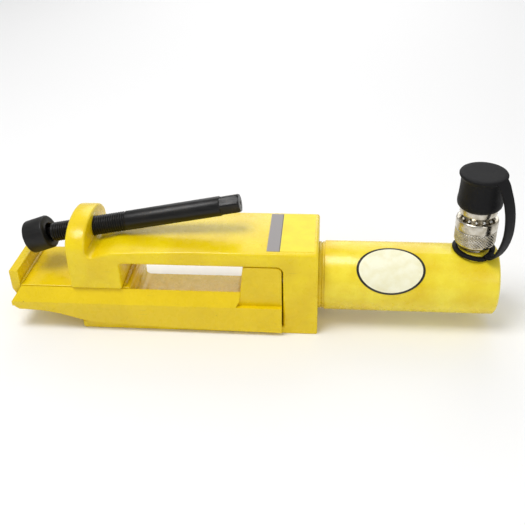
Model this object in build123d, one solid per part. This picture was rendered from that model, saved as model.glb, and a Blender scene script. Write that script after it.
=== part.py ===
from build123d import *
import os

# Hydraulic bead breaker for large tyres: a fixed C-frame with a hooked jaw clamps the rim
# flange, and a ram pushes a shoe out under the jaw against the tyre bead.
# Tool axes: X along the ram, +X towards the hose end; Z up; the ram's axis is y = 0, z = 0
# and x = 0 is the frame's rear face. Everything is moved to the stand-on origin on export.

# ---- driving dimensions, mm ----
FRAME_HALF_W = 34.0        # half width of the frame, arm and hook
FRAME_TOP = 39.0           # top of the rear block above the ram axis
FRAME_BOTTOM = -36.6       # underside, the surface that the tool stands on
ARM_UNDER = 26.3           # underside of the upper arm
BLOCK_FRONT = -27.6        # front face of the rear block
HOOK_REAR = -158.0         # hook foot, rear face
HOOK_FRONT = -200.0        # hook foot and lug, front face
HOOK_BOTTOM = 2.3          # hook foot stands on the jaw plate at this height
LUG_REAR = -184.0
LUG_CENTRE_Z = 35.5        # the lug's rounded top starts at this height
LUG_RISE = 20.8            # height of the rounded top
TONGUE_FRONT = -195.0      # fixed bottom tongue that guides the shoe
TONGUE_TOP = -30.0

JAW_HALF_W = 30.5
JAW_BOTTOM = -11.0
JAW_REAR = -152.0
LIP_FRONT = -251.4
LIP_THICK = 7.4
LIP_TOP = 15.5
LIP_BOTTOM = -4.0

SHOE_HALF_W = 38.0
SHOE_FRONT = -251.2
SHOE_REAR = -28.6
SHOE_TOP = -9.8            # top edge of the shoe's outer faces
RAIL_TOP = 1.6             # top of the rails beside the jaw plate
RAIL_INNER = 31.2
RAIL_CREST = 32.0          # outer edge of the rail's narrow top
CHANNEL_FLOOR = -11.6
POCKET_FRONT = -155.5      # pocket in the shoe behind the jaw plate, open on the far side
POCKET_REAR = -66.0
POCKET_FLOOR = -24.0
GROOVE_TOP = -29.7         # roof of the groove over the tongue
GROOVE_HALF_W = 34.3

TUBE_R = 28.575            # 57.15 mm tube
TUBE_START = 5.0
TUBE_END = 142.0
BORE_R = 20.0
ROD_R = 12.5
PISTON_FRONT = 98.0
PISTON_REAR = 116.0
RUN_GAP = 0.05             # radial running clearance

SCREW_R = 8.0              # M16 x 2
SCREW_TILT = 10.98         # degrees, rising towards the rear
SCREW_AT = (-185.2, 0, 41.8)
SCREW_PLAIN_FROM = 30.0    # along the screw from SCREW_AT
SCREW_HEX_FROM = 108.6
SCREW_END = 124.6
HEX_ACROSS = 14.3
PAD_R = 13.8
PAD_LONG = 19.0
PAD_EXTRA_TILT = 9.0       # the swivel pad hangs nose down
BALL_AT = -47.2            # ball centre, along the screw from SCREW_AT
BALL_R = 7.0
NECK_R = 4.5
THREAD_FROM_BALL = 11.4

COUPLER_X = 122.6
COLLAR_R = 16.3
COLLAR_LOW = 33.6
COLLAR_HIGH = 57.0
CAP_LOW = 67.6
CAP_TOP = 95.6
TETHER_AZIMUTH = -50.0     # the tether bows out towards the rear and the near side

BBOX_MID_X = -51.79        # middle of the whole tool's length
ORIGIN_SHIFT = Pos(-BBOX_MID_X, 0, -FRAME_BOTTOM)


def save(node, shape):
    """Writes one node, stood on the origin."""
    placed = ORIGIN_SHIFT * shape
    placed.label = node
    export_step(placed, f"parts/{node}.step")


def side_prism(points, y0, y1, rounds=()):
    """A side outline of (x, z) points, drawn across the width from y0 to y1."""
    face = make_face(Polyline(*points, close=True))
    for (px, pz), radius in rounds:
        corner = face.vertices().sort_by(lambda v: (v.X - px) ** 2 + (v.Y - pz) ** 2)[0]
        face = fillet(corner, radius)
    return extrude(Plane.XZ.offset(-y1) * face, amount=y1 - y0)


def end_prism(points, x0, x1):
    """An end outline of (y, z) points, drawn along the length from x0 to x1."""
    face = make_face(Polyline(*points, close=True))
    return extrude(Plane.YZ.offset(x0) * face, amount=x1 - x0)


def block(x0, x1, y0, y1, z0, z1):
    return Pos((x0 + x1) / 2, (y0 + y1) / 2, (z0 + z1) / 2) * Box(x1 - x0, y1 - y0, z1 - z0)


def rod_x(radius, x0, x1, z=0.0):
    """A round bar along X."""
    return Pos((x0 + x1) / 2, 0, z) * (Rot(0, 90, 0) * Cylinder(radius, x1 - x0))


def turned_x(points):
    """A turned part on the ram axis from (x, radius) points."""
    face = make_face(Polyline(*[(x, 0, r) for x, r in points], close=True))
    return revolve(face, Axis.X)


def turned_z(points):
    """A turned part on the coupler axis from (radius, z) points."""
    face = make_face(Polyline(*[(r, 0, z) for r, z in points], close=True))
    return Pos(COUPLER_X, 0, 0) * revolve(face, Axis.Z)


def on_screw(shape, extra_tilt=0.0, along=0.0):
    """Moves a shape made along +Z onto the clamp screw's axis."""
    axis = Location(SCREW_AT) * Rot(0, 90 - SCREW_TILT, 0)
    return axis * (Pos(0, 0, along) * (Rot(0, -extra_tilt, 0) * shape))


def ring_x(x_mid, r_in, r_out, width):
    return rod_x(r_out, x_mid - width / 2, x_mid + width / 2) - rod_x(
        r_in, x_mid - width, x_mid + width)


# ---- fixed structure ----
def frame_outline():
    """Side view of the frame: rear block, arm that thins towards the lug, hook, bottom tongue."""
    return [
        (0, FRAME_BOTTOM), (0, FRAME_TOP), (-100, FRAME_TOP), (-140, 37.6), (-164, 36.2),
        (-179, 31.8), (LUG_REAR, 31.8), (LUG_REAR, 70), (HOOK_FRONT, 70), (HOOK_FRONT, HOOK_BOTTOM), (HOOK_REAR, HOOK_BOTTOM),
        (HOOK_REAR, ARM_UNDER), (BLOCK_FRONT, ARM_UNDER), (BLOCK_FRONT, TONGUE_TOP),
        (TONGUE_FRONT, TONGUE_TOP), (TONGUE_FRONT, FRAME_BOTTOM),
    ]


def lug_corners():
    """What is cut away from the lug to leave its rounded top."""
    zone = block(HOOK_FRONT - 1, LUG_REAR + 6, -60, 60, LUG_CENTRE_Z, 80)
    oval = Plane.YZ.offset(HOOK_FRONT - 2) * (Pos(0, LUG_CENTRE_Z) * Ellipse(FRAME_HALF_W, LUG_RISE))
    return zone - extrude(oval, amount=40)


def make_frame():
    rounds = [
        ((0, FRAME_TOP), 2.6), ((BLOCK_FRONT, ARM_UNDER), 5.5), ((HOOK_REAR, ARM_UNDER), 3.0),
        ((HOOK_REAR, HOOK_BOTTOM), 2.0), ((-179, 31.8), 6.0), ((LUG_REAR, 31.8), 4.0),
        ((-164, 36.2), 12.0),
        ((TONGUE_FRONT, FRAME_BOTTOM), 2.0),
    ]
    body = side_prism(frame_outline(), -FRAME_HALF_W, FRAME_HALF_W, rounds)
    body -= lug_corners()
    body -= rod_x(25.0, -18.0, 1.0)
    body -= rod_x(13.1, BLOCK_FRONT - 1, -17.0)
    return body - on_screw(Cylinder(SCREW_R + RUN_GAP, 60))


def make_jaw_plate():
    """Plate under the hook foot, with its front end closed off by the lip."""
    rounds = [((JAW_REAR, HOOK_BOTTOM), 2.5), ((JAW_REAR, JAW_BOTTOM), 1.5)]
    rear_of_lip = LIP_FRONT + LIP_THICK
    points = [(rear_of_lip, JAW_BOTTOM), (rear_of_lip, HOOK_BOTTOM), (JAW_REAR, HOOK_BOTTOM),
              (JAW_REAR, JAW_BOTTOM)]
    return side_prism(points, -JAW_HALF_W, JAW_HALF_W, rounds)


def make_rim_lip():
    """Upstand that hooks behind the rim flange, with a chamfered heel and toe."""
    rear = LIP_FRONT + LIP_THICK
    points = [(LIP_FRONT, LIP_BOTTOM + 2.6), (LIP_FRONT, LIP_TOP), (rear, LIP_TOP),
              (rear, LIP_BOTTOM - 3), (LIP_FRONT + 2.6, LIP_BOTTOM - 3)]
    lip = side_prism(points, -JAW_HALF_W, JAW_HALF_W)
    edges = lip.edges().filter_by(Axis.Y).filter_by(lambda e: e.center().Z > LIP_TOP - 1)
    return chamfer(edges, 0.5)


def make_weld(x, z, reach_x, reach_z, half_w):
    """Three-cornered weld bead along a joint that runs across the width."""
    gap = 0.02
    points = [(x + gap * reach_x, z + gap), (x + reach_x, z + gap), (x + gap * reach_x, z + reach_z)]
    return side_prism(points, -half_w, half_w)


# ---- shoe ----
def shoe_outline():
    """Side view of the pushing shoe: rounded toe, belly that deepens to the rear, open end."""
    return [
        (SHOE_FRONT, SHOE_TOP), (SHOE_FRONT, -11.0), (-248.7, -14.8), (-245.7, -16.9),
        (-239.0, -17.0), (-225.9, -17.9), (-211.9, -20.4), (-199.8, -24.0), (-190.0, -27.0),
        (-165.0, -29.2), (-112.5, -31.5), (-62.8, -32.8), (SHOE_REAR, -33.5), (SHOE_REAR, SHOE_TOP),
    ]


def make_rail(side, x0, x1):
    """Guide rail beside the jaw plate, sloped outside, with a raked front end."""
    y = [side * v for v in (SHOE_HALF_W, RAIL_CREST, RAIL_INNER)]
    rail = end_prism([(y[0], SHOE_TOP), (y[1], RAIL_TOP), (y[2], RAIL_TOP), (y[2], SHOE_TOP - 4),
                      (y[0], SHOE_TOP - 4)], x0, x1)
    rake = side_prism([(x0 - 1, SHOE_TOP), (x0, SHOE_TOP), (x0 + 9, RAIL_TOP + 1),
                       (x0 - 1, RAIL_TOP + 1)], -50, 50)
    return rail - rake


def drive_outline():
    """Side view of the drive block, with its slanting front face."""
    front = [(-65.5, SHOE_TOP), (-62.6, -4.5), (-59.2, 25.7)]
    return front + [(SHOE_REAR, 25.7), (SHOE_REAR, SHOE_TOP)]


def make_near_rail():
    """The near rail runs on until it meets the drive block's front face."""
    rail = make_rail(-1, SHOE_FRONT, -58.0)
    beyond = side_prism(drive_outline(), -60, 60)
    return rail - beyond


def make_shoe():
    body = side_prism(shoe_outline(), -SHOE_HALF_W, SHOE_HALF_W, [((-199.8, -24.0), 30.0)])
    body = body + make_near_rail() + make_rail(1, SHOE_FRONT, POCKET_FRONT)
    body -= block(SHOE_FRONT - 1, POCKET_FRONT + 1, -RAIL_INNER, RAIL_INNER, CHANNEL_FLOOR, 20)
    pocket = [(POCKET_FRONT, POCKET_FLOOR), (POCKET_FRONT, 20), (POCKET_REAR, 20),
              (POCKET_REAR, POCKET_FLOOR)]
    rounds = [((POCKET_FRONT, POCKET_FLOOR), 6.5), ((POCKET_REAR, POCKET_FLOOR), 4.0)]
    body -= side_prism(pocket, -RAIL_INNER, 60, rounds)
    body -= block(POCKET_FRONT, POCKET_REAR, RAIL_INNER, 60, -60, 20)
    groove = block(TONGUE_FRONT - 0.4, 0, -GROOVE_HALF_W, GROOVE_HALF_W, -60, GROOVE_TOP)
    return body - groove


def make_drive_block():
    """Upright block on the rear of the shoe that the ram pushes."""
    rounds = [((SHOE_REAR, 25.7), 4.4), ((-59.2, 25.7), 1.5)]
    body = side_prism(drive_outline(), -33.7, 33.7, rounds)
    edges = body.edges().filter_by(lambda e: abs(abs(e.center().Y) - 33.7) < 0.1 and e.center().Z > 0)
    body = chamfer(edges, 0.6)
    body -= rod_x(8.6, -70, -50)
    return body - rod_x(5.0, -55, -20)


def make_drive_bolt():
    """Socket-head screw that ties the block to the piston rod."""
    bolt = rod_x(8.0, -60.0, -50.0) + rod_x(5.0, -50.0, -8.0)
    socket = Pos(-57.5, 0, 0) * (Rot(0, 90, 0) * extrude(RegularPolygon(4.6, 6), amount=5, both=True))
    return bolt - socket


# ---- hydraulic cylinder ----
def make_tube():
    tube = turned_x([(TUBE_START, BORE_R), (TUBE_START, TUBE_R), (TUBE_END - 1.5, TUBE_R),
                     (TUBE_END, TUBE_R - 1.5), (TUBE_END, BORE_R)])
    tube -= Pos(COUPLER_X, 0, 24) * Cylinder(4.5, 16)
    return tube - Pos(COUPLER_X, 0, 34) * Cylinder(8.0, 18)


def make_gland():
    """Front gland: screwed into the frame, with a grooved ring showing before the tube."""
    gland = turned_x([
        (-18, ROD_R + RUN_GAP), (-18, 25.0), (0, 25.0), (0, 27.6), (2.2, 27.6), (2.2, 26.8),
        (3.0, 26.8), (3.0, 27.6), (5.0, 27.6), (5.0, 20.0), (12.0, 20.0), (12.0, ROD_R + RUN_GAP)])
    gland -= ring_x(-13.0, ROD_R - 1, ROD_R + 3.0, 4.0)
    gland -= ring_x(0.0, ROD_R - 1, ROD_R + 3.0, 4.0)
    return gland - ring_x(8.5, 18.0, 21.0, 2.6)


def make_piston():
    piston = turned_x([(PISTON_FRONT, 6.0), (PISTON_FRONT, BORE_R - RUN_GAP),
                       (PISTON_REAR, BORE_R - RUN_GAP), (PISTON_REAR, 6.0)])
    return piston - ring_x(107.0, 17.0, 21.0, 4.0)


def make_piston_rod():
    rod = rod_x(ROD_R, SHOE_REAR, PISTON_FRONT) + rod_x(6.0, PISTON_FRONT, 123.0)
    return rod - rod_x(5.0, SHOE_REAR - 1, -7.0)


def make_spring(x0, x1, radius, wire, turns):
    """Helical spring along X, drawn as one wire."""
    height = x1 - x0 - 2 * wire
    path = Helix(pitch=height / turns, height=height, radius=radius)
    start = Plane(origin=path @ 0, z_dir=path % 0)
    coil = sweep(start * Circle(wire), path=path)
    return Pos(x0 + wire, 0, 0) * (Rot(0, 90, 0) * coil)


# ---- hose coupler ----
def make_port_boss():
    boss = Pos(COUPLER_X, 0, 26.2) * Cylinder(13.2, 8.8)
    boss -= rod_x(TUBE_R, 90, 160)
    return boss - Pos(COUPLER_X, 0, 26) * Cylinder(8.0, 20)


def make_coupler_body():
    return turned_z([
        (4.5, 25.0), (8.0, 25.0), (8.0, 30.6), (11.2, 30.6), (11.2, 33.2), (12.5, 34.0),
        (12.5, 57.4), (14.4, 57.8), (14.4, 59.6), (13.4, 60.2), (13.4, 61.8), (14.4, 62.4),
        (14.4, 65.4), (12.0, 66.4), (12.0, 84.0), (11.0, 85.6), (7.0, 85.6), (7.0, 80.0),
        (5.0, 78.0), (5.0, 74.0), (7.5, 74.0), (7.5, 46.0), (4.5, 46.0)])


def make_collar():
    """Knurled sleeve: chamfered foot, knurled band, plain band."""
    sleeve = turned_z([
        (12.55, COLLAR_LOW + 0.4), (13.6, COLLAR_LOW), (COLLAR_R - 0.6, 37.0), (COLLAR_R - 0.6, 47.6),
        (COLLAR_R - 0.9, 48.2), (COLLAR_R - 0.2, 48.9), (COLLAR_R, 49.6), (COLLAR_R, 56.0),
        (COLLAR_R - 0.9, COLLAR_HIGH), (12.55, COLLAR_HIGH)])
    flute = Cylinder(0.5, 10.0)
    flutes = [Pos(COUPLER_X, 0, 42.4) * (Rot(0, 0, a * 10) * (Pos(COLLAR_R - 0.35, 0, 0) * flute))
              for a in range(36)]
    return sleeve - flutes


def make_poppet():
    return turned_z([(0, 76.5), (4.8, 76.5), (4.8, 73.9), (7.2, 73.8), (7.2, 70.0), (3.0, 70.0),
                     (3.0, 56.0), (0, 56.0)])


def make_poppet_seat():
    ring = turned_z([(3.2, 50.5), (7.4, 50.5), (7.4, 53.0), (3.2, 53.0)])
    return ring


def make_poppet_spring():
    path = Helix(pitch=(69.0 - 54.0) / 5, height=15.0, radius=5.2)
    start = Plane(origin=path @ 0, z_dir=path % 0)
    return Pos(COUPLER_X, 0, 54.0) * sweep(start * Circle(0.7), path=path)


def make_dust_cap():
    """Rubber cap with a flat rolled top, flared mouth and a clear bore."""
    return turned_z([
        (0, CAP_TOP), (17.2, CAP_TOP), (18.2, CAP_TOP - 1.0), (18.2, CAP_TOP - 2.8),
        (16.6, CAP_TOP - 4.2), (17.0, 74.0), (17.4, 70.0), (16.6, CAP_LOW), (13.2, CAP_LOW),
        (12.3, 68.5), (12.3, 88.0), (0, 88.0)])


def make_tether():
    """Strap ring round the coupler's foot, with the flat band that rises to the cap."""
    ring = turned_z([(11.6, 30.8), (15.6, 30.8), (15.6, 33.2), (11.6, 33.2)])
    line = FilletPolyline((14.4, 32.0), (27.0, 32.0), (31.8, 46.0), (31.0, 66.0), (18.9, 86.0),
                          radius=(7.0, 30.0, 30.0))
    band = extrude(Plane.XZ.offset(-5.4) * trace(line, 2.4), amount=10.8)
    band = Pos(COUPLER_X, 0, 0) * (Rot(0, 0, TETHER_AZIMUTH) * band)
    return ring + band


# ---- clamp screw ----
def make_clamp_screw():
    """M16 screw: nose pin in the ball, threaded length, plain shank, hexagon end."""
    thread_start = BALL_AT + THREAD_FROM_BALL
    screw = Pos(0, 0, (thread_start + SCREW_PLAIN_FROM) / 2) * Cylinder(
        SCREW_R, SCREW_PLAIN_FROM - thread_start)
    screw += Pos(0, 0, (SCREW_PLAIN_FROM + SCREW_HEX_FROM) / 2) * Cylinder(
        SCREW_R, SCREW_HEX_FROM - SCREW_PLAIN_FROM)
    hexagon = extrude(RegularPolygon(HEX_ACROSS / 2, 6, major_radius=False),
                      amount=SCREW_END - SCREW_HEX_FROM)
    hexagon = Pos(0, 0, SCREW_HEX_FROM) * hexagon
    screw += hexagon & (Pos(0, 0, (SCREW_HEX_FROM + SCREW_END) / 2) * Cylinder(
        SCREW_R, SCREW_END - SCREW_HEX_FROM))
    neck_long = THREAD_FROM_BALL - 2.0
    screw += Pos(0, 0, BALL_AT + 2.0 + neck_long / 2) * Cylinder(NECK_R, neck_long)
    return on_screw(screw)


def make_swivel_ball():
    ball = Sphere(BALL_R) - Pos(0, 0, 6.0 + 1.9) * Cylinder(NECK_R + RUN_GAP, 12)
    return on_screw(ball, along=BALL_AT)


def make_pressure_pad():
    """Swivel pad: a round block with a ball socket that opens in a cone towards the screw."""
    pad = Cylinder(PAD_R, PAD_LONG)
    pad = chamfer(pad.edges().filter_by(GeomType.CIRCLE), 1.0)
    pad -= Sphere(BALL_R + 0.1)
    pad -= Pos(0, 0, 7.6) * Cone(5.7, 7.6, 7.0)
    return on_screw(pad, extra_tilt=PAD_EXTRA_TILT, along=BALL_AT)


# ---- printed trim ----
def make_label():
    return block(-40.3, -3.2, -29.5, 31.0, FRAME_TOP, FRAME_TOP + 0.25)


def make_decal():
    """Oval sticker bent round the tube, facing up and to the near side."""
    shell = rod_x(TUBE_R + 0.25, 20, 100) - rod_x(TUBE_R, 10, 110)
    oval = extrude(Ellipse(27.0, 19.0), amount=40)
    return shell & (Pos(57, 0, 0) * (Rot(47, 0, 0) * oval))


def make_all():
    lip_rear = LIP_FRONT + LIP_THICK
    return {
        "frame": make_frame(),
        "jaw_plate": make_jaw_plate(),
        "rim_lip": make_rim_lip(),
        "lip_weld": make_weld(lip_rear, HOOK_BOTTOM, 3.2, 3.2, JAW_HALF_W - 0.5),
        "hook_weld": make_weld(HOOK_REAR, HOOK_BOTTOM, 3.6, 3.4, JAW_HALF_W - 1.0),
        "push_shoe": make_shoe(),
        "drive_block": make_drive_block(),
        "drive_bolt": make_drive_bolt(),
        "cylinder_tube": make_tube(),
        "gland": make_gland(),
        "rod_wiper": ring_x(-13.0, ROD_R + 0.02, ROD_R + 2.95, 3.9),
        "rod_seal": ring_x(0.0, ROD_R + 0.02, ROD_R + 2.95, 3.9),
        "gland_o_ring": ring_x(8.5, 18.05, BORE_R - 0.02, 2.5),
        "piston": make_piston(),
        "piston_seal": ring_x(107.0, 17.05, BORE_R - 0.03, 3.9),
        "piston_rod": make_piston_rod(),
        "piston_nut": rod_x(11.0, PISTON_REAR, 122.0) - rod_x(6.0, 110, 125),
        "return_spring": make_spring(12.6, 97.6, 16.4, 1.6, 7),
        "end_plug": rod_x(BORE_R, 131.0, TUBE_END - 0.8) - ring_x(134.5, 18.0, 21.0, 2.6),
        "plug_o_ring": ring_x(134.5, 18.05, BORE_R - 0.02, 2.5),
        "port_boss": make_port_boss(),
        "coupler_body": make_coupler_body(),
        "coupler_collar": make_collar(),
        "valve_poppet": make_poppet(),
        "poppet_seat": make_poppet_seat(),
        "poppet_spring": make_poppet_spring(),
        "dust_cap": make_dust_cap(),
        "cap_tether": make_tether(),
        "clamp_screw": make_clamp_screw(),
        "swivel_ball": make_swivel_ball(),
        "pressure_pad": make_pressure_pad(),
        "top_label": make_label(),
        "oval_decal": make_decal(),
    }


os.makedirs("parts", exist_ok=True)
parts = make_all()
for node, shape in parts.items():
    save(node, shape)
whole = Compound(children=list(parts.values())).bounding_box()
print("length", whole.min.X, whole.max.X, "middle", (whole.min.X + whole.max.X) / 2)
print("width", whole.min.Y, whole.max.Y, "height", whole.min.Z, whole.max.Z)
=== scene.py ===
"""Looks of the hydraulic bead breaker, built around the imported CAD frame."""
import math

import bmesh
import bpy
from mathutils import Matrix, Vector, noise

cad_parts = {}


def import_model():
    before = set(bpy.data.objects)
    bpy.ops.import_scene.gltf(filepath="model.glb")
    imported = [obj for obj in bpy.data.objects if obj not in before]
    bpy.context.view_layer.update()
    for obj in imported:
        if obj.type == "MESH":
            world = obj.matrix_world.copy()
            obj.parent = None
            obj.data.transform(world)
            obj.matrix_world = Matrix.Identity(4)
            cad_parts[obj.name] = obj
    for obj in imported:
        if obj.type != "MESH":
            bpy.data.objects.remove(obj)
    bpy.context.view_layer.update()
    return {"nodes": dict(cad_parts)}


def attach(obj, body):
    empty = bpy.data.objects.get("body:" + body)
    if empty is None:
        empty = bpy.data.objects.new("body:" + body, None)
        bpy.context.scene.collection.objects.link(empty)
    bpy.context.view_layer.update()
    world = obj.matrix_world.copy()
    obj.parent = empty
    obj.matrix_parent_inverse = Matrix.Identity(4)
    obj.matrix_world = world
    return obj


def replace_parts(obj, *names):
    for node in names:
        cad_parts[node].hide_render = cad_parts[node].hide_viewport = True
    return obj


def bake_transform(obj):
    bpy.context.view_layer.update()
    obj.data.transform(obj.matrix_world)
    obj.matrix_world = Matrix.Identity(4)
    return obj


# ---- where things are, in tool millimetres (ram axis y = z = 0, frame's rear face x = 0) ----
MID_X = -51.79
BOTTOM = -36.6
SCREW_TILT = math.radians(10.98)
SCREW_AT = (-185.2, 0, 41.8)
BALL_AT = -47.2
SCREW_R = 8.0
PITCH = 2.0
THREAD_DEPTH = 1.15
THREAD_START = -35.8
PLAIN_FROM = 30.0
HEX_FROM = 108.6
SCREW_END = 124.6
HEX_ACROSS = 14.3
COUPLER_X = 122.6
TUBE_R = 28.575
CAP_LEAN = math.radians(2.5)
TETHER_AZIMUTH = math.radians(-50.0)
TETHER_RING_R = 14.6
BALL_GROOVE_R = 12.9
BALL_GROOVE_Z = 58.3

# ---- printed trim and weld beads ----
LABEL_SPLIT_X = -30.3
DECAL_X = 57
DECAL_TURN = math.radians(47)
DECAL_HALF_LONG = 27.0
DECAL_HALF_HIGH = 19.0
BEAD_Z = 2.9
HOOK_BEAD_X = -157.4
HOOK_BEAD_HALF = 29.4
LIP_BEAD_X = -243.4
LIP_BEAD_HALF = 29.8
HOOK_STRIP_X = -156.6
LIP_STRIP_X = -242.6

# ---- camera, in tool millimetres and radians, for a square picture ----
LENS_MM = 52.206
CAMERA_AT = (5.4, -532.086, 345.358)
CAMERA_YAW = 0.0972855
CAMERA_PITCH = 0.5599962
CAMERA_ROLL = 0.0270928


def mm(x, y, z):
    """Tool millimetres to row metres."""
    return Vector(((x - MID_X) / 1000, y / 1000, (z - BOTTOM) / 1000))


# ---------------------------------------------------------------- node helpers
class Graph:
    """Short-hand for building one material's node tree."""

    def __init__(self, name):
        self.material = bpy.data.materials.new(name)
        self.material.use_nodes = True
        self.nodes = self.material.node_tree.nodes
        self.links = self.material.node_tree.links
        self.shader = self.nodes["Principled BSDF"]
        coords = self.nodes.new("ShaderNodeTexCoord")
        scale = self.nodes.new("ShaderNodeVectorMath")
        scale.operation = "SCALE"
        scale.inputs["Scale"].default_value = 1000.0
        self.links.new(coords.outputs["Object"], scale.inputs[0])
        self.place = scale.outputs[0]

    def stretched(self, sx, sy, sz, turn=(0, 0, 0)):
        node = self.nodes.new("ShaderNodeMapping")
        node.inputs["Scale"].default_value = (sx, sy, sz)
        node.inputs["Rotation"].default_value = turn
        self.links.new(self.place, node.inputs["Vector"])
        return node.outputs["Vector"]

    def noise(self, size_mm, detail=3.0, rough=0.5, at=None):
        node = self.nodes.new("ShaderNodeTexNoise")
        node.inputs["Scale"].default_value = 1.0 / size_mm
        node.inputs["Detail"].default_value = detail
        node.inputs["Roughness"].default_value = rough
        self.links.new(at or self.place, node.inputs["Vector"])
        return node.outputs["Fac"]

    def ramp(self, value, low, high, to_low=0.0, to_high=1.0):
        node = self.nodes.new("ShaderNodeMapRange")
        node.inputs["From Min"].default_value = low
        node.inputs["From Max"].default_value = high
        node.inputs["To Min"].default_value = to_low
        node.inputs["To Max"].default_value = to_high
        self.links.new(value, node.inputs["Value"])
        return node.outputs["Result"]

    def math(self, operation, a, b=None):
        node = self.nodes.new("ShaderNodeMath")
        node.operation = operation
        for socket, value in zip(node.inputs, (a, b)):
            self.put(value, socket)
        return node.outputs["Value"]

    def put(self, value, socket):
        if value is None:
            return
        if isinstance(value, bpy.types.NodeSocket):
            self.links.new(value, socket)
        else:
            socket.default_value = value

    def mix(self, factor, a, b):
        node = self.nodes.new("ShaderNodeMix")
        node.data_type = "RGBA"
        self.put(factor, node.inputs[0])
        for value, socket in ((a, node.inputs[6]), (b, node.inputs[7])):
            self.put(value, socket)
        return node.outputs[2]

    def axis(self, name):
        node = self.nodes.new("ShaderNodeSeparateXYZ")
        self.links.new(self.place, node.inputs[0])
        return node.outputs[name]

    def bump(self, height, distance_mm, strength=1.0):
        node = self.nodes.new("ShaderNodeBump")
        node.inputs["Distance"].default_value = distance_mm / 1000
        node.inputs["Strength"].default_value = strength
        self.links.new(height, node.inputs["Height"])
        self.links.new(node.outputs["Normal"], self.shader.inputs["Normal"])

    def set(self, **values):
        for name, value in values.items():
            self.put(value, self.shader.inputs[name.replace("_", " ")])


def colour(hexa):
    """sRGB hex to linear RGBA."""
    parts = [int(hexa[i:i + 2], 16) / 255 for i in (0, 2, 4)]
    linear = [c / 12.92 if c <= 0.04045 else ((c + 0.055) / 1.055) ** 2.4 for c in parts]
    return (*linear, 1.0)


# ---------------------------------------------------------------- materials
def yellow_paint(name, top="EFD40A", worn=0.5, rust=None):
    """Thick glossy machine enamel: slight orange peel, scuffs, scratches and small chips."""
    g = Graph(name)
    base = g.mix(g.ramp(g.noise(28, 4), 0.35, 0.65), colour(top), colour("E3C406"))
    scuff = g.noise(2.2, 6, 0.7, g.stretched(0.35, 1.0, 1.4, (0.2, 0.5, 0.3)))
    base = g.mix(g.ramp(scuff, 0.64, 0.74, 0, 0.35 * worn), base, colour("A8921E"))
    scratch = g.noise(0.9, 2, 0.4, g.stretched(0.05, 1.6, 1.2, (0.1, 0.35, 0.9)))
    base = g.mix(g.ramp(scratch, 0.72, 0.75, 0, 0.5 * worn), base, colour("B7A33A"))
    specks = g.ramp(g.noise(1.6, 4, 0.6), 0.69, 0.71)
    chip = g.math("MULTIPLY", specks, g.ramp(g.noise(22, 2), 0.56, 0.62))
    base = g.mix(g.math("MULTIPLY", chip, 0.9 * worn), base, colour("4B3A14"))
    if rust:
        spots = g.math("MULTIPLY", g.ramp(g.noise(1.9, 5, 0.7), 0.56, 0.66), rust(g))
        base = g.mix(spots, base, colour("4A2C0C"))
    g.set(Base_Color=base, Roughness=g.ramp(g.noise(6, 4), 0.3, 0.7, 0.2, 0.36))
    g.set(Coat_Weight=0.12, Coat_Roughness=0.12, IOR=1.45)
    peel = g.math("ADD", g.noise(2.4, 2), g.math("MULTIPLY", g.noise(14, 2), 2.5))
    g.bump(g.math("SUBTRACT", peel, g.math("MULTIPLY", chip, 1.5)), 0.14)
    return g.material


def black_steel(name, roughness=(0.28, 0.45), scuffs=0.5):
    """Blackened steel with lengthwise streaks and brown rubbing marks."""
    g = Graph(name)
    streak = g.noise(1.6, 5, 0.6, g.stretched(0.08, 1.0, 1.0, (0, 0.19, 0)))
    base = g.mix(g.ramp(streak, 0.35, 0.7), colour("0A0A0B"), colour("181716"))
    rub = g.math("MULTIPLY", g.ramp(g.noise(1.1, 6, 0.7), 0.56, 0.66), g.ramp(g.noise(13, 2), 0.5, 0.62))
    base = g.mix(g.math("MULTIPLY", rub, scuffs), base, colour("5A4524"))
    g.set(Base_Color=base, Metallic=0.35, Roughness=g.ramp(streak, 0.3, 0.7, *roughness))
    g.bump(g.math("ADD", g.noise(0.7, 4), streak), 0.05)
    return g.material


def rubber(name, tint="070709"):
    g = Graph(name)
    grain = g.noise(0.35, 4, 0.6)
    dust = g.ramp(g.noise(7, 5, 0.65), 0.45, 0.75, 0, 0.35)
    g.set(Base_Color=g.mix(dust, colour(tint), colour("141316")))
    g.set(Roughness=g.ramp(grain, 0.3, 0.7, 0.5, 0.7), Specular_IOR_Level=0.22)
    g.bump(g.math("ADD", grain, g.noise(2.5, 3)), 0.06)
    return g.material


def plated(name, tint="CFC9BC", roughness=(0.14, 0.3), lines=40.0):
    """Nickel or chrome plate with fine turning lines and warm stains."""
    g = Graph(name)
    turned = g.noise(0.4, 2, 0.4, g.stretched(0.2, 0.2, lines / 20))
    base = g.mix(g.ramp(g.noise(5, 4), 0.4, 0.7), colour(tint), colour("A39A86"))
    g.set(Base_Color=base, Metallic=1.0, Roughness=g.ramp(turned, 0.3, 0.7, *roughness))
    g.bump(g.math("ADD", turned, g.noise(3, 3)), 0.02)
    return g.material


def label_print():
    """Two-tone adhesive label: grey band in front, bright yellow field, faint creases."""
    g = Graph("label_print")
    along = g.axis("X")
    split = LABEL_SPLIT_X - MID_X
    grey = g.math("LESS_THAN", along, split)
    field = g.mix(g.ramp(g.noise(9, 3), 0.4, 0.7), colour("F2DC00"), colour("EAD200"))
    base = g.mix(grey, field, colour("8B8686"))
    seam = g.math("LESS_THAN", g.math("ABSOLUTE", g.math("SUBTRACT", along, split)), 0.35)
    base = g.mix(seam, base, colour("4E4E48"))
    rub = g.ramp(g.noise(1.2, 6, 0.7), 0.62, 0.7, 0, 0.5)
    g.set(Base_Color=g.mix(rub, base, colour("C9BF60")), Roughness=0.38, IOR=1.45)
    g.bump(g.noise(5, 3), 0.05)
    return g.material


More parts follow.
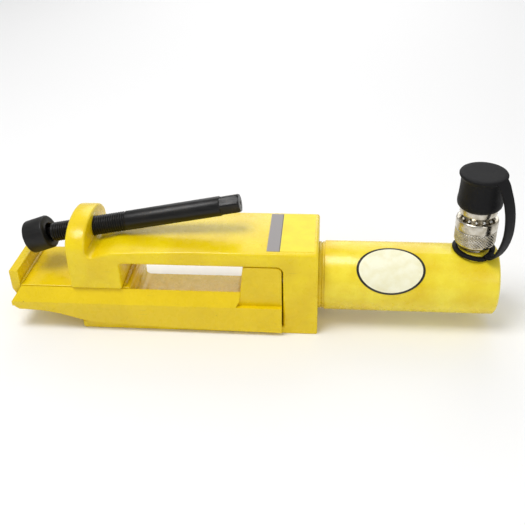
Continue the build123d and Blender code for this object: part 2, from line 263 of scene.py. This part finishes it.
def decal_print():
    """Plain cream oval with a black border."""
    g = Graph("decal_print")
    u = g.math("DIVIDE", g.math("SUBTRACT", g.axis("X"), DECAL_X - MID_X), DECAL_HALF_LONG)
    across = g.math("MULTIPLY", g.axis("Y"), math.cos(DECAL_TURN))
    rise = g.math("MULTIPLY", g.math("ADD", g.axis("Z"), BOTTOM), math.sin(DECAL_TURN))
    v = g.math("DIVIDE", g.math("ADD", across, rise), DECAL_HALF_HIGH)
    r2 = g.math("ADD", g.math("MULTIPLY", u, u), g.math("MULTIPLY", v, v))
    border = g.math("GREATER_THAN", r2, 0.865)
    cream = g.mix(g.ramp(g.noise(8, 4), 0.4, 0.7), colour("F4F2D6"), colour("EBE6BE"))
    g.set(Base_Color=g.mix(border, cream, colour("15150F")), Roughness=0.3, IOR=1.5)
    g.bump(g.noise(4, 3), 0.04)
    return g.material


def near_weld(g):
    """Mask of the rusty strips: behind the hook foot and at the lip's inner foot."""
    x = g.axis("X")
    behind = g.math("LESS_THAN", g.math("ABSOLUTE", g.math("SUBTRACT", x, HOOK_STRIP_X - MID_X)), 2.0)
    lip = g.math("LESS_THAN", g.math("ABSOLUTE", g.math("SUBTRACT", x, LIP_STRIP_X - MID_X)), 2.6)
    lip = g.math("MULTIPLY", lip, 0.45)
    return g.math("MULTIPLY", g.math("MAXIMUM", behind, lip), 0.7)


def make_materials():
    return {
        "frame": yellow_paint("frame_paint"),
        "plate": yellow_paint("plate_paint", "EBCD08", 0.8, near_weld),
        "shoe": yellow_paint("shoe_paint", "EACB08", 0.9),
        "tube": yellow_paint("tube_paint", "F1DE3A", 0.35),
        "weld": yellow_paint("weld_paint", "C9AC10", 1.0, near_weld),
        "screw": black_steel("black_screw"),
        "pad": black_steel("pad_black", (0.38, 0.52), 0.2),
        "rubber": rubber("rubber_black"),
        "seal": rubber("seal_rubber", "2A2420"),
        "plated": plated("chrome_coupler"),
        "chrome": plated("rod_chrome", "D8DADC", (0.06, 0.14)),
        "steel": plated("machined_steel", "8F8F8C", (0.28, 0.42)),
        "label": label_print(),
        "decal": decal_print(),
    }


# ---------------------------------------------------------------- mesh helpers
def finish_piece(obj, body, material, nodes=(), smooth=True):
    obj.data.materials.clear()
    obj.data.materials.append(material)
    for polygon in obj.data.polygons:
        polygon.use_smooth = smooth
    if body:
        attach(obj, body)
    if nodes:
        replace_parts(obj, *nodes)
    return obj


def new_mesh(name, verts, faces):
    mesh = bpy.data.meshes.new(name)
    mesh.from_pydata([tuple(v) for v in verts], [], faces)
    obj = bpy.data.objects.new(name, mesh)
    bpy.context.scene.collection.objects.link(obj)
    tidy_normals(mesh)
    return obj


def tidy_normals(mesh):
    bm = bmesh.new()
    bm.from_mesh(mesh)
    bmesh.ops.recalc_face_normals(bm, faces=bm.faces)
    bm.to_mesh(mesh)
    bm.free()


def grid_faces(rows, columns, close_rows=False, close_columns=True):
    """Quads of a grid whose vertices run row by row."""
    faces = []
    for i in range(rows if close_rows else rows - 1):
        for j in range(columns if close_columns else columns - 1):
            k, m = (i + 1) % rows, (j + 1) % columns
            faces.append((i * columns + j, i * columns + m, k * columns + m, k * columns + j))
    return faces


def stack(name, rings):
    """Closed skin over a stack of rings with the same number of points; ends are capped."""
    count = len(rings[0])
    verts = [p for ring in rings for p in ring]
    faces = grid_faces(len(rings), count)
    faces += [tuple(range(count)), tuple(range(len(verts) - count, len(verts)))]
    return new_mesh(name, verts, faces)


def angles(count):
    """Evenly spaced angles of one full turn."""
    return [2 * math.pi * j / count for j in range(count)]


def on_screw(radius, angle, along):
    """A point beside the clamp screw's axis, in row metres."""
    x = SCREW_AT[0] + along * math.cos(SCREW_TILT) - radius * math.cos(angle) * math.sin(SCREW_TILT)
    z = SCREW_AT[2] + along * math.sin(SCREW_TILT) + radius * math.cos(angle) * math.cos(SCREW_TILT)
    return mm(x, radius * math.sin(angle), z)


def soften(obj, width_mm, angle=28, segments=3):
    bevel = obj.modifiers.new("edges", "BEVEL")
    bevel.width = width_mm / 1000
    bevel.segments = segments
    bevel.limit_method = "ANGLE"
    bevel.angle_limit = math.radians(angle)
    bevel.harden_normals = True
    bevel.use_clamp_overlap = True
    return bevel


def skin(frame, node, width_mm, material, body, thin=None):
    """A copy of a CAD node with flat faces merged and rounded edges."""
    obj = frame["nodes"][node].copy()
    obj.data = obj.data.copy()
    obj.name = node + "_skin"
    bpy.context.scene.collection.objects.link(obj)
    bm = bmesh.new()
    bm.from_mesh(obj.data)
    bmesh.ops.remove_doubles(bm, verts=bm.verts, dist=1e-6)
    bmesh.ops.dissolve_limit(bm, angle_limit=math.radians(0.6), verts=bm.verts, edges=bm.edges)
    weight_edges(bm, thin)
    bm.to_mesh(obj.data)
    bm.free()
    bevel = soften(obj, width_mm)
    bevel.limit_method = "WEIGHT"
    return finish_piece(obj, body, material, (node,))


def weight_edges(bm, thin):
    """Sharp edges get bevel weight 1, or less where thin(point) says so."""
    layer = bm.edges.layers.float.new("bevel_weight_edge")
    for edge in bm.edges:
        if len(edge.link_faces) != 2:
            continue
        if edge.calc_face_angle(0.0) > math.radians(27):
            middle = (edge.verts[0].co + edge.verts[1].co) / 2
            edge[layer] = thin(middle) if thin else 1.0


# ---------------------------------------------------------------- clamp screw
def thread_radius(phase):
    """Outline of one 60-degree thread over a pitch, phase 0 to 1."""
    peak = 1.0 - abs(2.0 * phase - 1.0)
    return SCREW_R - THREAD_DEPTH * min(1.0, max(0.0, 1.08 - 1.2 * peak))


def make_thread(material):
    """Helical thread: rows climb one pitch per turn, so every crest is one line."""
    around = 48
    per_pitch = 8
    turns = int((PLAIN_FROM - THREAD_START) / PITCH) + 2
    root = SCREW_R - THREAD_DEPTH
    rings = []
    for row in range(turns * per_pitch):
        base = THREAD_START - PITCH + row * PITCH / per_pitch
        ring = []
        for j in range(around):
            along = base + PITCH * j / around
            phase = (row % per_pitch) / per_pitch
            along_in = min(max(along, THREAD_START), PLAIN_FROM)
            fade = min(1.0, (along_in - THREAD_START) / 2.0, (PLAIN_FROM - along_in) / 2.0)
            radius = root + (thread_radius(phase) - root) * max(fade, 0.15)
            if along_in > PLAIN_FROM - 2.0:
                radius = max(radius, SCREW_R - THREAD_DEPTH * fade)
            ring.append((radius, 2 * math.pi * j / around, along_in))
        rings.append(ring)
    return helix_mesh("screw_thread", rings, around, material, per_pitch)


def helix_mesh(name, rings, around, material, per_pitch):
    """Joins the rows; the seam steps up by one pitch because the rows climb."""
    verts = [on_screw(*p) for ring in rings for p in ring]
    faces = []
    rows = len(rings)
    for i in range(rows - 1):
        for j in range(around - 1):
            a = i * around + j
            faces.append((a, a + 1, a + 1 + around, a + around))
    for i in range(rows - 1 - per_pitch):
        a = i * around + around - 1
        b = (i + per_pitch) * around
        faces.append((a, b, b + around, a + around))
    obj = new_mesh(name, verts, faces)
    return finish_piece(obj, "screw", material)


def make_shank(material):
    """Plain shank with a slight run-out groove, then the chamfered hexagon drive."""
    around = 96
    stations = [(PLAIN_FROM - 0.6, SCREW_R - 0.9), (PLAIN_FROM, SCREW_R - 0.05),
                (HEX_FROM - 0.5, SCREW_R), (HEX_FROM, SCREW_R - 0.25)]
    rings = [[on_screw(r, a, s) for a in angles(around)] for s, r in stations]
    for s, trim in ((HEX_FROM + 0.25, 0.0), (HEX_FROM + 1.4, 0.0), (SCREW_END - 1.3, 0.0), (SCREW_END, 1.1)):
        rings.append([on_screw(hex_radius(a, trim), a, s) for a in angles(around)])
    for radius, depth in ((1.6, 0.0), (0.9, 0.9)):
        rings.append([on_screw(radius, a, SCREW_END - depth) for a in angles(around)])
    obj = stack("screw_shank", rings)
    mark_sharp(obj, 30)
    return finish_piece(obj, "screw", material, ("clamp_screw",))


def hex_radius(angle, trim):
    """Distance to a hexagon's side, trimmed round at its corners."""
    part = (angle + math.radians(8)) % (math.pi / 3) - math.pi / 6
    return min(HEX_ACROSS / 2 / math.cos(part), SCREW_R - 0.05 - trim)


def mark_sharp(obj, degrees):
    """Keeps shading crisp where faces meet at more than this angle."""
    bm = bmesh.new()
    bm.from_mesh(obj.data)
    for edge in bm.edges:
        edge.smooth = len(edge.link_faces) != 2 or edge.calc_face_angle(0.0) < math.radians(degrees)
    bm.to_mesh(obj.data)
    bm.free()


def make_screw_nose(material):
    """Turned-down nose behind the pad, carrying the last of the screw into its socket."""
    around = 48
    stations = [(BALL_AT + 2.2, 4.5), (THREAD_START - 1.0, 4.5), (THREAD_START - 0.6, 5.6),
                (THREAD_START, SCREW_R - THREAD_DEPTH), (THREAD_START + 1.0, SCREW_R - THREAD_DEPTH)]
    rings = [[on_screw(r, a, s) for a in angles(around)] for s, r in stations]
    return finish_piece(stack("screw_nose", rings), "screw", material)


# ---------------------------------------------------------------- coupler and cap
def lathe(name, profile, segments=96, closed=True):
    """Turned piece on the coupler's axis from (radius, z) points."""
    verts = []
    for r, z in profile:
        for angle in angles(segments):
            verts.append(mm(COUPLER_X + r * math.cos(angle), r * math.sin(angle), z))
    faces = grid_faces(len(profile), segments, close_rows=closed)
    return new_mesh(name, verts, faces)


def knurl(z_low, z_high, radius, depth, teeth, step):
    """Profile rows and a height for each vertex of a diamond knurl."""
    samples = teeth * 6
    rows = int((z_high - z_low) / step) + 1
    grid = []
    for i in range(rows):
        z = z_low + (z_high - z_low) * i / (rows - 1)
        climb = (z - z_low) / (2 * math.pi * radius / teeth)
        ring = []
        for j in range(samples):
            turn = teeth * j / samples
            a = abs(2 * ((turn + climb) % 1.0) - 1)
            b = abs(2 * ((turn - climb) % 1.0) - 1)
            edge = min(1.0, 3.0 * min(z - z_low, z_high - z) / step / 6)
            ring.append((radius - depth * (1 - min(a, b) * edge), 2 * math.pi * j / samples, z))
        grid.append(ring)
    return grid, samples


def make_collar(material):
    grid, samples = knurl(37.0, 48.0, 16.25, 0.8, 44, 0.2)
    plain_low = [(12.6, 34.2), (13.4, 33.7), (14.0, 34.0), (15.5, 36.4)]
    plain_high = [(15.3, 48.4), (15.5, 48.9), (16.2, 49.3), (16.3, 50.0), (16.3, 55.9), (16.0, 56.6),
                  (15.4, 57.0), (14.2, 56.8), (12.9, 56.9), (12.6, 56.6)]
    rows = [[(r, a, z) for a in angles(samples)] for r, z in plain_low]
    rows += grid
    rows += [[(r, a, z) for a in angles(samples)] for r, z in plain_high]
    verts = [mm(COUPLER_X + r * math.cos(a), r * math.sin(a), z) for ring in rows for r, a, z in ring]
    obj = new_mesh("collar_knurled", verts, grid_faces(len(rows), samples, close_rows=True))
    mark_sharp(obj, 40)
    return finish_piece(obj, "collar", material, ("coupler_collar",))


def make_balls(material):
    """Locking balls that glint in the groove above the collar."""
    bm = bmesh.new()
    for angle in angles(14):
        across = BALL_GROOVE_R * math.sin(angle)
        at = mm(COUPLER_X + BALL_GROOVE_R * math.cos(angle), across, BALL_GROOVE_Z)
        bmesh.ops.create_icosphere(bm, subdivisions=3, radius=0.00125, matrix=Matrix.Translation(at))
    mesh = bpy.data.meshes.new("locking_balls")
    bm.to_mesh(mesh)
    bm.free()
    obj = bpy.data.objects.new("locking_balls", mesh)
    bpy.context.scene.collection.objects.link(obj)
    return finish_piece(obj, "frame", material)


def make_neck(material):
    """Coupler body: thread root, groove under the cap, plug face."""
    profile = [(5.0, 74.0), (5.0, 78.0), (7.0, 80.0), (7.0, 85.4), (11.0, 85.4), (12.0, 84.0), (12.0, 68.0),
               (13.0, 66.6), (14.2, 66.2), (14.4, 65.6), (14.4, 62.4), (14.1, 61.8), (12.2, 61.0),
               (11.8, 60.0), (11.8, 57.6), (12.5, 57.3), (12.5, 34.2), (11.2, 33.2), (11.2, 31.0),
               (10.2, 30.6), (10.2, 28.6), (8.0, 28.6), (8.0, 46.0), (7.5, 74.0)]
    obj = lathe("coupler_neck", profile)
    mark_sharp(obj, 35)
    return finish_piece(obj, "frame", material, ("coupler_body",))


def make_boss(material):
    """Painted boss welded on the tube, with a soft fillet where it meets the tube."""
    around = 72
    rings = []
    for radius, lift in ((14.4, 0.0), (13.6, 0.5), (13.2, 1.5), (13.1, 2.4), (12.7, 2.9), (10.3, 3.0)):
        ring = []
        for angle in angles(around):
            y = radius * math.sin(angle)
            saddle = math.sqrt(TUBE_R ** 2 - y * y)
            level = 27.4 + lift
            blend = min(1.0, lift / 1.5)
            z = saddle * (1 - blend) + level * blend if lift < 1.5 else level
            ring.append(mm(COUPLER_X + radius * math.cos(angle), y, z))
        rings.append(ring)
    obj = stack("boss_skin", rings)
    return finish_piece(obj, "frame", material, ("port_boss",))


def make_cap(material):
    """Moulded rubber cap: rolled rim on top, soft flare at the mouth, mould ridge."""
    profile = [(0.05, 95.4), (14.0, 95.6), (16.9, 95.6), (17.8, 95.3), (18.2, 94.7), (18.2, 93.9),
               (17.8, 93.1), (16.9, 92.1), (16.45, 91.0), (16.5, 85.0), (16.75, 79.0), (16.95, 75.6),
               (17.2, 74.4),
               (17.35, 72.6), (17.3, 70.6), (17.0, 69.0), (16.4, 68.1), (15.4, 67.7), (14.2, 67.8),
               (13.4, 68.4), (13.0, 69.8), (12.9, 73.0), (12.9, 87.6), (11.6, 88.6), (0.05, 88.6)]
    obj = lathe("cap_rubber", profile, 112, closed=False)
    pivot = mm(COUPLER_X, 0, 72)
    lean = Matrix.Translation(pivot) @ Matrix.Rotation(CAP_LEAN, 4, "X") @ Matrix.Translation(-pivot)
    obj.data.transform(lean)
    return finish_piece(obj, "cap", material, ("dust_cap",))


def tether_line():
    """Centre line of the strap, in its own plane: distance from the axis and height."""
    return [(14.4, 29.6), (17.6, 29.0), (20.8, 30.2), (23.8, 34.0), (26.8, 40.0), (29.0, 47.0), (30.2, 55.0),
            (30.1, 63.0), (29.0, 71.0), (26.8, 78.6), (23.8, 85.4), (20.4, 91.0), (16.8, 94.2)]


def smooth_line(points, per_span=6):
    """Catmull-Rom points through a polyline."""
    out = []
    padded = [points[0], *points, points[-1]]
    for i in range(len(points) - 1):
        p = [Vector((*q, 0)) for q in padded[i:i + 4]]
        for k in range(per_span):
            t = k / per_span
            out.append(0.5 * (2 * p[1] + (p[2] - p[0]) * t + (2 * p[0] - 5 * p[1] + 4 * p[2] - p[3]) * t * t
                              + (3 * p[1] - p[0] - 3 * p[2] + p[3]) * t ** 3))
    out.append(Vector((*points[-1], 0)))
    return out


def strap_section(half_w, half_t, count=20):
    """Rounded flat section: (across, thickness) offsets."""
    out = []
    for k in range(count):
        a = 2 * math.pi * k / count
        c, s = math.cos(a), math.sin(a)
        out.append((half_w * math.copysign(abs(c) ** 0.35, c), half_t * math.copysign(abs(s) ** 0.6, s)))
    return out


def make_strap(material):
    """Flat rubber strap that bows out from the ring up to the cap's rim."""
    line = smooth_line(tether_line())
    turn = Matrix.Rotation(TETHER_AZIMUTH, 3, "Z")
    rings = []
    for i, point in enumerate(line):
        ahead = line[min(i + 1, len(line) - 1)] - line[max(i - 1, 0)]
        ahead.normalize()
        normal = Vector((ahead.y, -ahead.x, 0))
        share = i / (len(line) - 1)
        half_w = 4.4 + 1.0 * min(1.0, share * 6) + 1.4 * max(0.0, share - 0.85) / 0.15
        ring = []
        for across, out in strap_section(half_w, 1.15):
            local = turn @ Vector((point.x + normal.x * out, across, 0))
            ring.append(mm(COUPLER_X + local.x, local.y, point.y + normal.y * out))
        rings.append(ring)
    obj = stack("tether_strap", rings)
    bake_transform(obj)
    return finish_piece(obj, None, material, ("cap_tether",))


def make_tether_ring(material):
    """Loose ring that drapes over the tube round the coupler's foot."""
    around = 96
    rings = []
    for angle in angles(around):
        y = TETHER_RING_R * math.sin(angle)
        rest = math.sqrt(TUBE_R ** 2 - y * y) + 1.7
        rest = max(rest, 27.0 + 2.2 * math.cos(angle - math.pi) + 0.6)
        ring = []
        for out, up in strap_section(2.1, 1.5, 16):
            r = TETHER_RING_R + out
            ring.append(mm(COUPLER_X + r * math.cos(angle), r * math.sin(angle), rest + up))
        rings.append(ring)
    verts = [p for ring in rings for p in ring]
    obj = new_mesh("tether_ring", verts, grid_faces(around, 16, close_rows=True))
    return finish_piece(obj, "frame", material)


# ---------------------------------------------------------------- welds
def make_bead(name, start, end, radius, material, seed):
    """Hand-laid weld: overlapping scallops along a line across the tool."""
    length = (end - start).length
    steps = int(length / 0.0005)
    rings = []
    for i in range(steps + 1):
        share = i / steps
        centre = start.lerp(end, share)
        ripple = 1.0 + 0.12 * abs(math.sin(share * length * 1000 / 2.6 * math.pi))
        ripple += 0.16 * noise.noise(Vector((share * 14, seed, 0)))
        taper = min(1.0, share * 18, (1 - share) * 18)
        r = radius * ripple * max(taper, 0.25)
        rings.append([centre + Vector((math.cos(a), 0, math.sin(a))) * r
                      for a in angles(14)])
    obj = stack(name, rings)
    return finish_piece(obj, "frame", material)


def make_welds(material):
    hook = [mm(HOOK_BEAD_X, y, BEAD_Z) for y in (-HOOK_BEAD_HALF, HOOK_BEAD_HALF)]
    lip = [mm(LIP_BEAD_X, y, BEAD_Z) for y in (-LIP_BEAD_HALF, LIP_BEAD_HALF)]
    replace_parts(make_bead("hook_bead", *hook, 0.0017, material, 3.1), "hook_weld")
    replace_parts(make_bead("lip_bead", *lip, 0.0013, material, 8.7), "lip_weld")


# ---------------------------------------------------------------- assembly
def frame_thin(point):
    """Bores keep crisp edges; castings get round ones."""
    x = point.x * 1000 + MID_X
    y = point.y * 1000
    z = point.z * 1000 + BOTTOM
    rise = (x - SCREW_AT[0]) * math.tan(SCREW_TILT) + SCREW_AT[2]
    if x < -180 and math.hypot(y, z - rise) < 10:
        return 0.25
    if math.hypot(y, z) < 26 and (x > -0.5 or abs(x + 27.6) < 1):
        return 0.1
    if z < -29:
        return 0.45
    return 1.0


def dress_frame(frame, mats):
    skin(frame, "frame", 1.9, mats["frame"], "frame", frame_thin)
    skin(frame, "jaw_plate", 0.9, mats["plate"], "frame")
    skin(frame, "rim_lip", 0.8, mats["plate"], "frame")
    skin(frame, "push_shoe", 0.8, mats["shoe"], "shoe")
    skin(frame, "drive_block", 1.2, mats["shoe"], "shoe")
    skin(frame, "cylinder_tube", 0.8, mats["tube"], "frame")
    skin(frame, "gland", 0.35, mats["tube"], "frame")
    skin(frame, "pressure_pad", 1.2, mats["pad"], "pad")


def dress_details(mats):
    make_thread(mats["screw"])
    make_shank(mats["screw"])
    make_screw_nose(mats["screw"])
    make_collar(mats["plated"])
    make_neck(mats["plated"])
    make_balls(mats["chrome"])
    make_boss(mats["tube"])
    make_cap(mats["rubber"])
    make_strap(mats["rubber"])
    make_tether_ring(mats["rubber"])
    make_welds(mats["weld"])


CARRIED = {
    "drive_bolt": "steel", "piston": "steel", "piston_nut": "steel", "valve_poppet": "steel",
    "piston_rod": "chrome", "return_spring": "steel", "poppet_spring": "steel", "swivel_ball": "steel",
    "rod_wiper": "seal", "rod_seal": "seal", "gland_o_ring": "seal", "piston_seal": "seal",
    "plug_o_ring": "seal", "poppet_seat": "seal", "end_plug": "tube", "top_label": "label",
    "oval_decal": "decal",
}


def paint_carried(frame, mats):
    """Gives every CAD node that stays visible its procedural material."""
    for node, key in CARRIED.items():
        mesh = frame["nodes"][node].data
        mesh.materials.clear()
        mesh.materials.append(mats[key])


# ---------------------------------------------------------------- studio
def camera_axes():
    yaw = Matrix.Rotation(CAMERA_YAW, 3, "Z")
    forward = yaw @ Vector((0, math.cos(CAMERA_PITCH), -math.sin(CAMERA_PITCH)))
    right = yaw @ Vector((1, 0, 0))
    down = forward.cross(right)
    c, s = math.cos(CAMERA_ROLL), math.sin(CAMERA_ROLL)
    return c * right + s * down, -s * right + c * down, forward


def add_camera():
    right, down, forward = camera_axes()
    data = bpy.data.cameras.new("camera")
    data.lens = LENS_MM
    data.sensor_width = 36.0
    data.clip_start = 0.01
    camera = bpy.data.objects.new("camera", data)
    rotation = Matrix((right, -down, -forward)).transposed().to_4x4()
    camera.matrix_world = Matrix.Translation(mm(*CAMERA_AT)) @ rotation
    bpy.context.scene.collection.objects.link(camera)
    bpy.context.scene.camera = camera


def add_area(name, at, target, size, watts, tint=(1, 1, 1)):
    data = bpy.data.lights.new(name, "AREA")
    data.shape = "DISK"
    data.size = size
    data.energy = watts
    data.color = tint
    light = bpy.data.objects.new(name, data)
    aim = Vector(target) - Vector(at)
    light.matrix_world = Matrix.Translation(at) @ aim.to_track_quat("-Z", "Y").to_matrix().to_4x4()
    bpy.context.scene.collection.objects.link(light)


def add_world(strength):
    world = bpy.data.worlds.new("studio")
    world.use_nodes = True
    world.node_tree.nodes["Background"].inputs["Color"].default_value = (1, 1, 1, 1)
    world.node_tree.nodes["Background"].inputs["Strength"].default_value = strength
    bpy.context.scene.world = world


def add_floor():
    g = Graph("floor_white")
    g.set(Base_Color=(0.9, 0.9, 0.9, 1), Roughness=0.7)
    half = 6.0
    floor = new_mesh("floor", [(-half, -half, 0), (half, -half, 0), (half, half, 0), (-half, half, 0)],
                     [(0, 1, 2, 3)])
    floor.data.materials.append(g.material)


def add_studio():
    add_camera()
    add_world(0.52)
    add_area("key", (-0.35, -0.3, 1.35), (0, 0, 0), 0.7, 11)
    add_area("back", (0.0, 1.3, 0.85), (0, 0, 0.05), 1.3, 6)
    add_area("fill", (0.9, -0.9, 0.7), (0, 0, 0.04), 0.8, 2.5)
    add_floor()
    bpy.context.scene.view_settings.view_transform = "Standard"


def main():
    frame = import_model()
    mats = make_materials()
    dress_frame(frame, mats)
    dress_details(mats)
    paint_carried(frame, mats)
    add_studio()


main()
